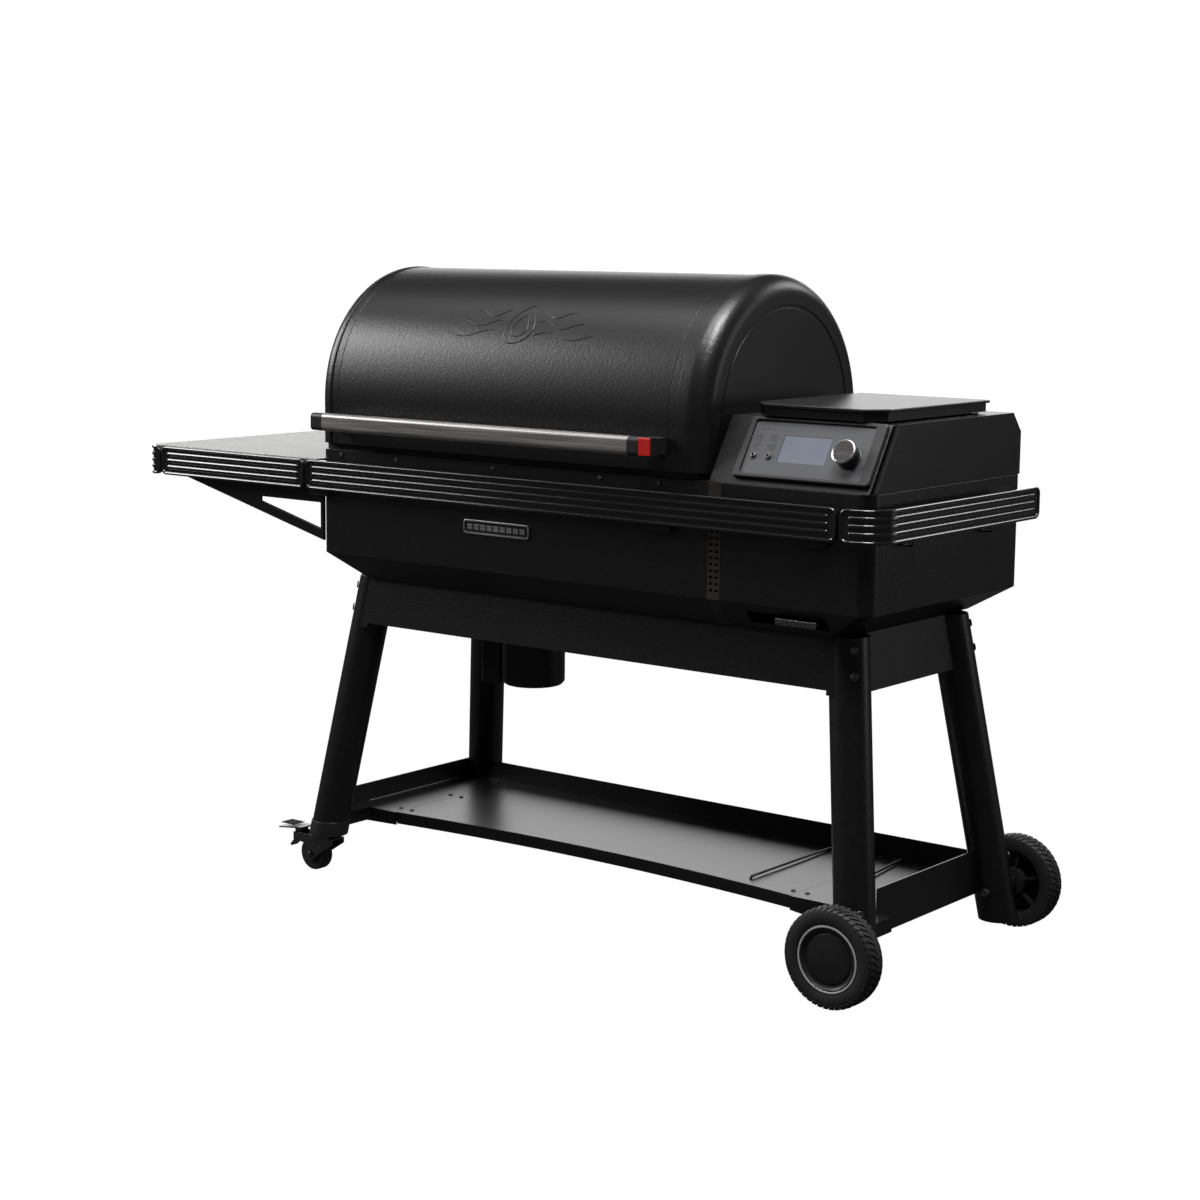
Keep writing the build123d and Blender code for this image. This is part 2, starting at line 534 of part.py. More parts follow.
def shelf_end(side):
    """End section: an outer lip, deep as a beam on the right, a front flange and a tab under the seam."""
    inner = LOW_X1 if side > 0 else LOW_X0
    lx, ly = leg_xy(side, 1, LOW_Z)
    outer = lx - (8 if side > 0 else 20)
    beam_low, beam_high, lip_front = (84, 168, -LOW_Y - 3) if side > 0 else (92, LOW_Z + LIP, 10 - ly)
    flange_low = beam_low - 10 if side > 0 else beam_low
    plate = block(*sorted((inner, outer)), -LOW_Y - 3, LOW_REAR, LOW_Z - 2.5, LOW_Z)
    flange = [(inner, LOW_Z), (outer, LOW_Z), (outer, flange_low), (inner, LOW_Z - 26)]
    plate += profile_y(flange, -LOW_Y - 3, -LOW_Y)
    plate += block(*sorted((outer + side * -2.5, outer)), lip_front, LOW_REAR, beam_low, beam_high)
    plate += block(*sorted((inner, outer)), LOW_REAR - 2.5, LOW_REAR, LOW_Z - 2.5, LOW_Z + LIP)
    plate += block(lx - 22, lx + 22, -ly + 10, -LOW_Y - 3, LOW_Z - 26, LOW_Z)
    # a tab under each seam, so that the gap to the middle panel shows dark
    tab = block(inner - 12, inner + 12, SEAM_Y, LOW_REAR - 5, LOW_Z - 5.5, LOW_Z - 2.5 - GAP)
    tab += block(inner - 12, inner + 12, SEAM_Y, SEAM_Y + 3, LOW_Z - 22, LOW_Z - 5)
    joined = block(*sorted((inner, inner + side * 12)), SEAM_Y, LOW_REAR - 5, LOW_Z - 5.5, LOW_Z - 2)
    plate += tab + joined
    for way in (-1, 1):
        plate -= leg_rod(side, way, 20, 240, LEG_R + GAP)
        plate -= leg_rod(side, way, 20, COLLAR_TOP + GAP, COLLAR_R + GAP)
    return max(plate.solids(), key=lambda s: s.volume)


def keg():
    """Grease and ash keg: open drum with a rolled rim."""
    drum = rod_z(KEG_X, 0, KEG_LOW, KEG_TOP, KEG_R)
    drum = fillet(drum.edges().filter_by(GeomType.CIRCLE).sort_by(Axis.Z)[0], 12)
    drum += rod_z(KEG_X, 0, KEG_TOP - 8, KEG_TOP, KEG_R + 4)
    return drum - rod_z(KEG_X, 0, KEG_LOW + 2.5, KEG_TOP + 5, KEG_R - 2.5)


def keg_bracket():
    """Hollow hanger column beside the keg, open towards the rear."""
    x1 = KEG_X - KEG_R - 5
    column = block(x1 - 52, x1, -26, 26, KEG_LOW - 6, FLOOR_Z - GAP)
    column = fillet(column.edges().filter_by(Axis.Z), 10)
    return column - block(x1 - 48, x1 - 4, -22, 60, KEG_LOW - 2, FLOOR_Z + 9)


def auger_screw():
    """Feed screw: a shaft with helical flights drawn as tilted discs."""
    screw = rod_x(100, 761, 0, AUGER_Z, 7)
    for i in range(19):
        x = 112 + i * 31
        screw += Pos(x, 0, AUGER_Z) * Rot(0, 90, 0) * Rot(14, 0, 0) * Cylinder(AUGER_R - 2, 3)
    return screw & rod_x(90, 770, 0, AUGER_Z, AUGER_R)


def auger_tube():
    """Tube from the hopper's foot to the firepot, open above where pellets drop in."""
    tube = rod_x(96, 760, 0, AUGER_Z, AUGER_TUBE_R) - rod_x(90, 757, 0, AUGER_Z, AUGER_TUBE_R - 2.5)
    tube -= block(672, 728, -24, 24, AUGER_Z, AUGER_Z + 60)
    return tube - rod_x(700, 800, 0, AUGER_Z, 7.6)


def main():
    os.makedirs("parts", exist_ok=True)
    body, inside = body_solid(0), body_solid(SHEET)
    chamber = chamber_shell(body, inside) - rod_x(500, 530, 0, AUGER_Z, AUGER_TUBE_R + 1)
    chamber -= rod_z(POT_X, 0, 560, 640, 20)
    chamber += rod_z(FAN_X, FAN_Y, FLOOR_Z + 1, 654, 5)
    chamber -= block(-60, 140, BODY_REAR - 20, BODY_REAR + 9, 770, 830)
    save(chamber, "chamber_shell")
    save(hopper_base(body, inside), "hopper_base")
    save(vent_strip(body, inside), "vent_strip")
    save(frame_ring(-410, 491, 243, LEDGE_Z + GAP, LID_Z0 - 0.6, 12), "lid_gasket")
    save(lid_shell(), "lid_shell")
    ends = [lid_end(LID_SEAM0, LID_X0), lid_end(LID_SEAM1, LID_X1)]
    ends[1] -= rod_x(480, 530, PORT_Y, PORT_Z, 10.3)
    save(Compound(children=[s for p in ends for s in p.solids()]), "lid_ends")
    save(Compound(children=[s for x in HINGE_X for s in lid_hinge(x).solids()]), "lid_hinges")
    save(bar_section(BAR_X0, BAR_X1), "handle_bar")
    save(handle_mounts(), "handle_mounts")
    cap = block(CAP_X0, CAP_X1, BAR_Y0, BAR_Y0 + 5, BAR_Z0 + 1, BAR_Z1 - 1)
    save(fillet(cap.edges(), 2), "handle_cap")
    port = rod_x(LID_X1 - 18, LID_X1 + 6, PORT_Y, PORT_Z, 10)
    port += rod_x(LID_X1 + GAP, LID_X1 + 3, PORT_Y, PORT_Z, 13)
    save(port - rod_x(480, 530, PORT_Y, PORT_Z, 6), "probe_port")
    save(housing(), "hopper_housing")
    save(hopper_lid(), "hopper_lid")
    pins = [hopper_pin(x) for x in (600, 776)]
    pins += [hinge_bracket(x) for x in HINGE_X]
    save(Compound(children=[s for p in pins for s in p.solids()]), "hinge_brackets")
    save(hopper_bin(), "hopper_bin")
    save(grid(582, 818, -136, 156, 940, 2.5, 22, 5), "hopper_guard")
    save(control_bezel(), "control_bezel")
    save(control_panel(), "control_panel")
    save(FACE * Pos(*LCD_AT, 2.9) * extrude(Rectangle(LCD_W - 0.6, LCD_H - 0.6), 2), "lcd_screen")
    jacks = [FACE * Pos(x, -11.5, 5.6) * (extrude(Circle(5), 4) - Pos(0, 0, 1) * extrude(Circle(2), 9))
             for x in (-111, -80)]
    save(Compound(children=[s for p in jacks for s in p.solids()]), "probe_jacks")
    save(knob(), "knob")
    save(side_shelf(), "side_shelf")
    save(shelf_brackets(), "shelf_brackets")
    save(rail_x(-446, 796), "rail_front")
    save(rail_x(-868, -450), "rail_shelf_front")
    side_rail = rail_corner(872, -SHELF_X0, SHELF_TURN_R, SHELF_REAR)
    save(mirror(side_rail, Plane.YZ), "rail_shelf_side")
    save(rail_corner(802, RAIL_RIGHT, RAIL_TURN_R, RAIL_REAR), "rail_right")
    save(rail_brackets(), "rail_brackets")
    badge = block(-46, 115, -BODY_Y - 3, -BODY_Y - GAP, 726, 753)
    save(fillet(badge.edges().filter_by(Axis.Y), 9), "badge_plate")
    save(skirt_frame(), "skirt_frame")
    for side, side_name in ((-1, "left"), (1, "right")):
        for front, front_name in ((-1, "front"), (1, "rear")):
            save(leg(side, front), f"leg_{front_name}_{side_name}")
    save(leg_bolts(), "leg_bolts")
    save(Compound(children=[s for f in (-1, 1) for s in collar(f).solids()]), "leg_collars")
    for front, name in ((-1, "front"), (1, "rear")):
        fork, wheel, pedal = caster(front)
        save(fork, f"caster_fork_{name}")
        save(wheel, f"caster_wheel_{name}")
        save(pedal, f"caster_brake_{name}")
        save(road_wheel(front), f"road_wheel_{name}")
    save(Compound(children=[s for f in (-1, 1) for s in wheel_axle(f).solids()]), "wheel_axles")
    save(lower_shelf(), "lower_shelf")
    save(Compound(children=[shelf_end(-1), shelf_end(1)]), "shelf_ends")
    save(keg(), "ash_keg")
    save(keg_bracket(), "keg_bracket")
    save(rod_z(POT_X, 0, 640, 720, POT_R) - rod_z(POT_X, 0, 643, 730, POT_R - 3), "firepot")
    baffle = profile_x([(-120, 735), (-118, 735), (0, 757), (118, 735), (120, 735), (0, 760)], -120, 220)
    save(baffle, "heat_baffle")
    tray = block(-370, 470, -205, 205, 775, 800) - block(-367, 467, -202, 202, 778, 801)
    save(tray, "drip_tray")
    save(grid(-372, 466, -228 + 6, 222, 830, 3, 19, 8), "main_grate")
    save(grid(-372, 466, -40, 214, 985, 2.5, 19, 6), "upper_grate")
    motor = block(762, 838, -38, 38, AUGER_Z - 34, AUGER_Z + 34)
    save(Compound(children=[auger_tube().solid(), motor]), "auger_drive")
    save(auger_screw(), "auger_screw")
    duct = block(-66, 146, BODY_REAR + GAP, 330, 690, 840) - block(-63, 143, 200, 327, 680, 837)
    save(duct, "exhaust_duct")
    inlet = block(640.3, 759.7, BODY_REAR - 2, BODY_REAR + 3, 700.3, 789.7)
    inlet -= block(676, 724, BODY_REAR, BODY_REAR + 9, 730, 765)
    save(inlet, "power_inlet")
    lever = block(661, 745, -247, -222, 630, 634) + block(661, 745, -247, -244, 626, 638)
    save(lever, "cleanout_lever")
    fan = rod_z(FAN_X, FAN_Y, 640, 652, 12)
    for i in range(8):
        fan += Pos(FAN_X, FAN_Y, 646) * Rot(0, 0, 45 * i) * Pos(25, 0, 0) * Rot(30, 0, 0) * Box(34, 3, 9)
    save(fan - rod_z(FAN_X, FAN_Y, 630, 660, 5.05), "fan_impeller")


main()
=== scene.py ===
"""Pellet smoker grill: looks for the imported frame. Metres, +Z up, -Y the front."""

import json
import math

import bmesh
import bpy
from mathutils import Matrix, Vector


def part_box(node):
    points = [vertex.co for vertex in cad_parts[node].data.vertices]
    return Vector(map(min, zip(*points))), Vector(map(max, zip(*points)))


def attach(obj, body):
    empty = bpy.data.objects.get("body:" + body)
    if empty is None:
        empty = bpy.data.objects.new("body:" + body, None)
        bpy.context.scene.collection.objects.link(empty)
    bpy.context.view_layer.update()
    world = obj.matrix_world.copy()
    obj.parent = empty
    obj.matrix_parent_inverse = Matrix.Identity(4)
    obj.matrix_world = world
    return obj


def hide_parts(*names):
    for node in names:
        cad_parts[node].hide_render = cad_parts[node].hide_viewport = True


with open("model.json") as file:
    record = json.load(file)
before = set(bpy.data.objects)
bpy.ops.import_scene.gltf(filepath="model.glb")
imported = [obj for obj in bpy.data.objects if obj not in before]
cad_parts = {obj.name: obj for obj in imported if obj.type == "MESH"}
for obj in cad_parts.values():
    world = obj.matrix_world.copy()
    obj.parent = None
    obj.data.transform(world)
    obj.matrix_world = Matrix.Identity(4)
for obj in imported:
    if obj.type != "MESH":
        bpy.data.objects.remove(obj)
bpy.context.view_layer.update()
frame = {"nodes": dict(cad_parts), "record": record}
BODY_OF = {node: body for body, nodes in frame["record"]["behaviour"]["bodies"].items() for node in nodes}
SLOT_OF = {part["node"]: part["material_slot"] for part in frame["record"]["subparts"]}
MM = 0.001


# ---------------------------------------------------------------- materials

def new_material(name, color, metallic=0.0, roughness=0.5):
    """An empty Principled material and the parts that the finishes below add to."""
    mat = bpy.data.materials.new(name)
    mat.use_nodes = True
    tree = mat.node_tree
    shader = tree.nodes["Principled BSDF"]
    shader.inputs["Base Color"].default_value = (*color, 1)
    shader.inputs["Metallic"].default_value = metallic
    shader.inputs["Roughness"].default_value = roughness
    return mat, tree, shader


def add(tree, kind, **values):
    """One node with some of its inputs set by name."""
    node = tree.nodes.new(kind)
    for key, value in values.items():
        if key in node.inputs:
            node.inputs[key].default_value = value
        else:
            setattr(node, key, value)
    return node


def noise(tree, scale, detail=3.0, stretch=(1, 1, 1)):
    """Noise in the object's own coordinates, stretched along an axis for brushing."""
    coords = add(tree, "ShaderNodeTexCoord")
    mapping = add(tree, "ShaderNodeMapping")
    mapping.inputs["Scale"].default_value = stretch
    texture = add(tree, "ShaderNodeTexNoise", Scale=scale, Detail=detail)
    tree.links.new(coords.outputs["Object"], mapping.inputs["Vector"])
    tree.links.new(mapping.outputs["Vector"], texture.inputs["Vector"])
    return texture.outputs["Fac"]


def vary_color(tree, shader, low, high, fac):
    """Base colour between two tones."""
    ramp = add(tree, "ShaderNodeValToRGB")
    ramp.color_ramp.elements[0].position = 0.3
    ramp.color_ramp.elements[0].color = (*low, 1)
    ramp.color_ramp.elements[1].position = 0.7
    ramp.color_ramp.elements[1].color = (*high, 1)
    tree.links.new(fac, ramp.inputs["Fac"])
    tree.links.new(ramp.outputs["Color"], shader.inputs["Base Color"])


def vary_roughness(tree, shader, low, high, fac):
    """Roughness between two values."""
    spread = add(tree, "ShaderNodeMapRange")
    spread.inputs["From Min"].default_value = 0.3
    spread.inputs["From Max"].default_value = 0.7
    spread.inputs["To Min"].default_value = low
    spread.inputs["To Max"].default_value = high
    tree.links.new(fac, spread.inputs["Value"])
    tree.links.new(spread.outputs["Result"], shader.inputs["Roughness"])


def bump(tree, shader, fac, strength, distance):
    """Surface relief from a texture."""
    node = add(tree, "ShaderNodeBump", Strength=strength, Distance=distance)
    tree.links.new(fac, node.inputs["Height"])
    tree.links.new(node.outputs["Normal"], shader.inputs["Normal"])


def powder_coat(name, low, high, rough, depth=0.0002, coat=0.0, grain=900):
    """Baked powder: fine orange peel, faint tone change, soft gloss."""
    mat, tree, shader = new_material(name, low)
    vary_color(tree, shader, low, high, noise(tree, 90, 5))
    vary_roughness(tree, shader, rough - 0.012, rough + 0.015, noise(tree, 300, 3))
    bump(tree, shader, noise(tree, grain, 2), 0.35, depth)
    shader.inputs["Coat Weight"].default_value = coat
    shader.inputs["Coat Roughness"].default_value = 0.10
    return mat


def brushed(name, low, high, rough, stretch, depth=0.00006):
    """Metal with fine lines along one axis."""
    mat, tree, shader = new_material(name, low, metallic=1.0)
    lines = noise(tree, 300, 4, stretch)
    vary_color(tree, shader, low, high, lines)
    vary_roughness(tree, shader, rough - 0.06, rough + 0.08, lines)
    bump(tree, shader, lines, 0.4, depth)
    return mat


def moulded(name, low, high, rough, grain=1400, depth=0.0001):
    """Plastic or rubber with a fine moulded grain."""
    mat, tree, shader = new_material(name, low)
    vary_color(tree, shader, low, high, noise(tree, 12, 4))
    vary_roughness(tree, shader, rough - 0.04, rough + 0.06, noise(tree, 60, 3))
    bump(tree, shader, noise(tree, grain, 2), 0.3, depth)
    return mat


def screen_glass(name, low, high, rough, coat):
    """Smooth display surface with a faint cloud."""
    mat, tree, shader = new_material(name, low)
    vary_color(tree, shader, low, high, noise(tree, 9, 2))
    vary_roughness(tree, shader, rough, rough + 0.05, noise(tree, 120, 2))
    shader.inputs["Coat Weight"].default_value = coat
    shader.inputs["Coat Roughness"].default_value = 0.15
    return mat


MATERIALS = {
    "black_coat": powder_coat("black_coat", (0.004, 0.004, 0.0042), (0.007, 0.007, 0.0072), 0.34,
                              depth=0.0009, grain=190),
    "bronze_coat": powder_coat("bronze_coat", (0.022, 0.018, 0.014), (0.034, 0.028, 0.022), 0.42),
    "gloss_black": powder_coat("gloss_black", (0.005, 0.005, 0.0055), (0.008, 0.008, 0.0085), 0.18,
                               depth=0.00003, coat=1.0),
    "gasket": moulded("gasket", (0.020, 0.020, 0.020), (0.045, 0.045, 0.045), 0.85, 500, 0.0006),
    "handle_metal": brushed("handle_metal", (0.34, 0.325, 0.315), (0.44, 0.42, 0.41), 0.42, (0.02, 1, 1)),
    "black_plastic": moulded("black_plastic", (0.010, 0.010, 0.010), (0.018, 0.018, 0.018), 0.42),
    "red_plastic": moulded("red_plastic", (0.42, 0.012, 0.010), (0.55, 0.020, 0.015), 0.30, 1800, 0.00005),
    "raw_steel": brushed("raw_steel", (0.42, 0.42, 0.42), (0.58, 0.58, 0.57), 0.38, (0.05, 1, 1)),
    "grate_enamel": powder_coat("grate_enamel", (0.012, 0.012, 0.013), (0.030, 0.030, 0.032), 0.28, 0.0003),
    "control_glass": screen_glass("control_glass", (0.045, 0.046, 0.050), (0.055, 0.056, 0.060), 0.45, 0.0),
    "lcd": screen_glass("lcd", (0.10, 0.115, 0.145), (0.12, 0.14, 0.17), 0.32, 0.3),
    "zinc": brushed("zinc", (0.10, 0.10, 0.10), (0.22, 0.22, 0.22), 0.35, (1, 1, 1)),
    "knob_metal": brushed("knob_metal", (0.36, 0.36, 0.37), (0.50, 0.50, 0.51), 0.28, (1, 1, 1)),
    "shelf_steel": brushed("shelf_steel", (0.25, 0.247, 0.243), (0.30, 0.297, 0.292), 0.42, (0.02, 1, 1)),
    "ring_paint": moulded("ring_paint", (0.50, 0.50, 0.50), (0.58, 0.58, 0.58), 0.45),
    "badge_metal": brushed("badge_metal", (0.05, 0.05, 0.05), (0.11, 0.10, 0.10), 0.35, (0.03, 1, 1)),
    "caster_tyre": moulded("caster_tyre", (0.014, 0.014, 0.014), (0.028, 0.028, 0.028), 0.55, 900, 0.0002),
    "road_tyre": moulded("road_tyre", (0.012, 0.012, 0.012), (0.024, 0.024, 0.024), 0.60, 800, 0.0003),
}


# ---------------------------------------------------------------- mesh helpers

def piece(name, bm, slot_name, body, smooth=35):
    """A finished mesh that rides on a body, with the named finish as its material."""
    mesh = bpy.data.meshes.new(name)
    bmesh.ops.recalc_face_normals(bm, faces=bm.faces)
    bm.to_mesh(mesh)
    bm.free()
    mesh.materials.append(MATERIALS[slot_name])
    obj = bpy.data.objects.new(name, mesh)
    bpy.context.scene.collection.objects.link(obj)
    for polygon in mesh.polygons:
        polygon.use_smooth = True
    mesh.set_sharp_from_angle(angle=math.radians(smooth))
    weighted = obj.modifiers.new("weighted", "WEIGHTED_NORMAL")
    weighted.keep_sharp = True
    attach(obj, body)
    return obj


def refine(node, width, segments=2, angle=25):
    """The CAD node again as a piece, with its triangles joined and its outer edges rounded."""
    bm = bmesh.new()
    bm.from_mesh(frame["nodes"][node].data)
    bmesh.ops.remove_doubles(bm, verts=bm.verts, dist=0.00001)
    bmesh.ops.dissolve_limit(bm, angle_limit=math.radians(0.5), verts=bm.verts, edges=bm.edges)
    sharp = [e for e in bm.edges
             if len(e.link_faces) == 2 and e.is_convex and e.calc_face_angle(0) > math.radians(angle)]
    bmesh.ops.bevel(bm, geom=sharp, offset=width * MM, segments=segments, profile=0.5,
                    affect="EDGES", clamp_overlap=True)
    obj = piece("look_" + node, bm, SLOT_OF[node], BODY_OF[node])
    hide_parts(node)
    return obj


def middle(node):
    """Centre of a node's box."""
    low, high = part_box(node)
    return (Vector(low) + Vector(high)) / 2


def lathe(bm, points, place, axis, steps=64, closed=True, wave=None):
    """Turn (along, radius) points about an axis through a place; wave(angle) scales the radius."""
    axis = Vector(axis).normalized()
    side = axis.orthogonal().normalized()
    other = axis.cross(side)
    rings = []
    for i in range(steps):
        angle = 2 * math.pi * i / steps
        out = side * math.cos(angle) + other * math.sin(angle)
        swell = wave(angle) if wave else 1.0
        rings.append([bm.verts.new(place + axis * w + out * (r * swell)) for w, r in points])
    count = len(points) if closed else len(points) - 1
    for i in range(steps):
        a, b = rings[i], rings[(i + 1) % steps]
        for k in range(count):
            n = (k + 1) % len(points)
            bm.faces.new((a[k], a[n], b[n], b[k]))
    if not closed:
        bm.faces.new([ring[0] for ring in rings])
        bm.faces.new([ring[-1] for ring in reversed(rings)])


def soft_box(bm, low, high, radius, segments=2):
    """Box with rounded edges."""
    verts = bmesh.ops.create_cube(bm, size=1.0)["verts"]
    for v in verts:
        v.co = Vector([low[i] + (v.co[i] + 0.5) * (high[i] - low[i]) for i in range(3)])
    edges = list({e for v in verts for e in v.link_edges})
    bmesh.ops.bevel(bm, geom=edges, offset=radius, segments=segments, profile=0.5, affect="EDGES")


def tube(bm, points, radius, sides=8):
    """Closed round bar along a list of points."""
    rings = []
    for i, point in enumerate(points):
        ahead = points[min(i + 1, len(points) - 1)] - points[max(i - 1, 0)]
        ahead.normalize()
        up = Vector((0, 0, 1)) if abs(ahead.z) < 0.9 else Vector((0, 1, 0))
        side = ahead.cross(up).normalized()
        up = side.cross(ahead)
        rings.append([bm.verts.new(point + side * (radius * math.cos(a)) + up * (radius * math.sin(a)))
                      for a in (2 * math.pi * k / sides for k in range(sides))])
    for a, b in zip(rings, rings[1:]):
        for k in range(sides):
            n = (k + 1) % sides
            bm.faces.new((a[k], a[n], b[n], b[k]))
    bm.faces.new(rings[0])
    bm.faces.new(list(reversed(rings[-1])))


def rounded_loop(low, high, r, steps=5):
    """Corner points of a rounded rectangle in a plane, in order."""
    points = []
    corners = ((high[0] - r, high[1] - r), (low[0] + r, high[1] - r), (low[0] + r, low[1] + r),
               (high[0] - r, low[1] + r))
    for quarter, (cx, cy) in enumerate(corners):
        for i in range(steps + 1):
            angle = math.pi / 2 * (quarter + i / steps)
            points.append((cx + r * math.cos(angle), cy + r * math.sin(angle)))
    return points


def loop_verts(bm, low, high, inset, r, height):
    """Ring of vertices (x, y, height) inside a rounded rectangle."""
    inner_low, inner_high = [v + inset for v in low], [v - inset for v in high]
    radius = max(r - inset, 0.0002)
    return [bm.verts.new((x, y, height)) for x, y in rounded_loop(inner_low, inner_high, radius)]


def join_rings(bm, a, b):
    """Quads between two rings of equal length."""
    for k in range(len(a)):
        n = (k + 1) % len(a)
        bm.faces.new((a[k], a[n], b[n], b[k]))


def ring_edges(bm, ring):
    """Edges round a ring of vertices, made where they are missing."""
    edges = []
    for k, v in enumerate(ring):
        w = ring[(k + 1) % len(ring)]
        edges.append(bm.edges.get((v, w)) or bm.edges.new((v, w)))
    return edges


def bead(bm, low, high, r, width, base, tall, steps=6):
    """Half-round band just inside a rounded outline; its outer and inner rings."""
    rings = []
    for k in range(steps + 1):
        t = math.pi * k / steps
        rings.append(loop_verts(bm, low, high, width * (1 - math.cos(t)) / 2, r, base + tall * math.sin(t)))
    for a, b in zip(rings, rings[1:]):
        join_rings(bm, a, b)
    return rings[0], rings[-1]


# ---------------------------------------------------------------- ribbed rails

RAIL_CORNER, BEAD_WIDE, BEAD_TALL = 0.013, 0.0060, 0.0030
RIBS, RIB_HALF, RIB_END = 3, 0.0042, 0.017


def pressed_panel(length, height, deep):
    """Flat ribbed panel as (along, height, outwards): a raised border and capsule ribs."""
    bm = bmesh.new()
    base = deep - BEAD_TALL
    low, high = (0, 0), (length, height)
    outer, inner = bead(bm, low, high, RAIL_CORNER, BEAD_WIDE, base, BEAD_TALL)
    back = loop_verts(bm, low, high, 0, RAIL_CORNER, 0)
    join_rings(bm, back, outer)
    bm.faces.new(list(reversed(back)))
    field = ring_edges(bm, inner)
    pitch = (height - BEAD_WIDE) / (RIBS + 1)
    for i in range(RIBS):
        z = BEAD_WIDE / 2 + pitch * (i + 1)
        rib_low, rib_high = (RIB_END, z - RIB_HALF), (length - RIB_END, z + RIB_HALF)
        rings = []
        for k in range(5):
            t = math.pi / 2 * k / 4
            inset = RIB_HALF * (1 - math.cos(t)) * 0.96
            tall = BEAD_TALL * 0.85 * math.sin(t)
            rings.append(loop_verts(bm, rib_low, rib_high, inset, RIB_HALF, base + tall))
        for a, b in zip(rings, rings[1:]):
            join_rings(bm, a, b)
        bm.faces.new(rings[-1])
        field += ring_edges(bm, rings[0])
    bmesh.ops.triangle_fill(bm, use_beauty=True, use_dissolve=False, edges=field)
    return bm


def rail(node, turn_r=None, mirror=1):
    """Rail in place of a CAD one: straight along the front, or bent round a corner to the side."""
    low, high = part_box(node)
    height = high[2] - low[2]
    if turn_r is None:
        deep = high[1] - low[1]
        length = high[0] - low[0]
        bm = pressed_panel(length, height, deep)
        for v in bm.verts:
            s, z, out = v.co
            v.co = (low[0] + s, high[1] - out, low[2] + z)
    else:
        deep = RAIL_DEEP
        start, outer = (low[0], high[0]) if mirror > 0 else (-high[0], -low[0])
        first = outer - turn_r - start
        arc = turn_r * math.pi / 2
        length = first + arc + high[1] - (low[1] + turn_r)
        bm = pressed_panel(length, height, deep)
        cuts = 14
        for k in range(cuts + 1):
            bmesh.ops.bisect_plane(bm, geom=bm.verts[:] + bm.edges[:] + bm.faces[:], dist=0.00001,
                                   plane_co=(first + arc * k / cuts, 0, 0), plane_no=(1, 0, 0))
        for v in bm.verts:
            s, z, out = v.co
            inward = deep - out
            if s < first:
                x, y = start + s, low[1] + inward
            elif s < first + arc:
                angle = (s - first) / turn_r
                x = outer - turn_r + (turn_r - inward) * math.sin(angle)
                y = low[1] + turn_r - (turn_r - inward) * math.cos(angle)
            else:
                x, y = outer - inward, low[1] + turn_r + s - first - arc
            v.co = (mirror * x, y, low[2] + z)
    obj = piece("pressed_" + node, bm, SLOT_OF[node], BODY_OF[node], 50)
    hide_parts(node)


RAIL_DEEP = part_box("rail_front")[1][1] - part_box("rail_front")[0][1]
rail("rail_front")
rail("rail_shelf_front")
rail("rail_right", 0.060)
rail("rail_shelf_side", 0.024, -1)
MADE = {"rail_front", "rail_shelf_front", "rail_right", "rail_shelf_side"}


# ---------------------------------------------------------------- big wheels

LUGS = 46


def lug(bm, place, way, angle, radius, half):
    """One chunky tread block from near the middle over the shoulder; way is 1 or -1 across the tyre."""
    path = [(0.0012, radius), (0.55 * half, radius), (0.80 * half, radius - 0.0010),
            (0.93 * half, radius - 0.0034), (0.985 * half, radius - 0.0080)]
    wide, deep, skew = 0.0066, 0.0040, 0.10
    rings = []
    for k, (w, r) in enumerate(path):
        lean = angle + skew * w / half + (0.018 if k % 2 else -0.018)
        ring = []
        for da, dr in ((-1, 0), (1, 0), (1, -deep), (-1, -deep)):
            a = lean + da * wide / radius / 2 * (1.25 if k > 2 else 1)
            rr = r + dr
            ww = w + (dr * 0.55 if k > 2 else 0)
            ring.append(bm.verts.new(place + Vector((rr * math.cos(a), way * ww, rr * math.sin(a)))))
        rings.append(ring)
    for a, b in zip(rings, rings[1:]):
        join_rings(bm, a, b)
    bm.faces.new(rings[0])
    bm.faces.new(list(reversed(rings[-1])))


